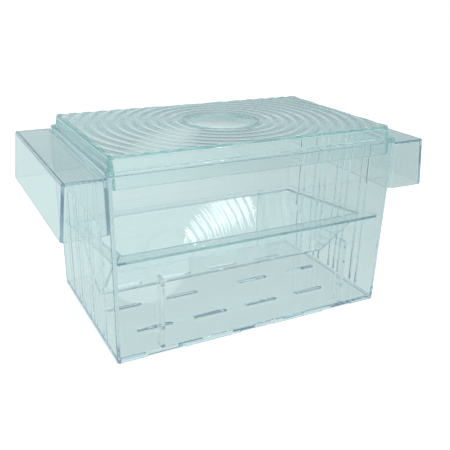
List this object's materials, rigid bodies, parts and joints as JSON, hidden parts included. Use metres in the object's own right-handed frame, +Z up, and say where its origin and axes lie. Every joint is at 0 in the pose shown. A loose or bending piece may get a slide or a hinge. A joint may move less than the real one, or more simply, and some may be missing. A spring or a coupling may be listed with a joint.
{
  "type": "floating fish breeding box",
  "caption": "Clear plastic aquarium breeding box with end floats, a ridged plug-in lid with a feed cap, and a V-trough insert with bottom slits for fry.",
  "frame": {"origin": "centre of the base, on the surface that the foot rim stands on", "axes": "+X along the box from the left float to the right float, +Y to the back, +Z up"},
  "size_m": [0.2564, 0.128, 0.1306],
  "materials": {
    "tank_plastic": "clear, glossy, faint blue cast at the edges",
    "float_plastic": "clear, glossy, faint blue cast at the edges",
    "lid_plastic": "clear, glossy, green-blue cast at the edges",
    "insert_plastic": "clear, glossy, teal cast at the edges"
  },
  "bodies": {
    "tank": {"tank_body": "tank_plastic", "float_left": "float_plastic", "float_right": "float_plastic"},
    "lid": {"lid_cover": "lid_plastic"},
    "cap": {"feed_cap": "lid_plastic"},
    "insert": {"trough_insert": "insert_plastic"}
  },
  "joints": [
    {"name": "lid_lift", "type": "slide", "parent": "tank", "child": "lid", "axis": [0, 0, 1], "range_m": [0, 0.2]},
    {"name": "insert_lift", "type": "slide", "parent": "tank", "child": "insert", "axis": [0, 0, 1], "range_m": [0, 0.12]},
    {"name": "feed_cap_lift", "type": "slide", "parent": "lid", "child": "cap", "axis": [0, 0, 1], "range_m": [0, 0.03]}
  ],
  "couplings": [
    {"joint": "insert_lift", "follows": "lid_lift", "ratio": 0.55}
  ]
}
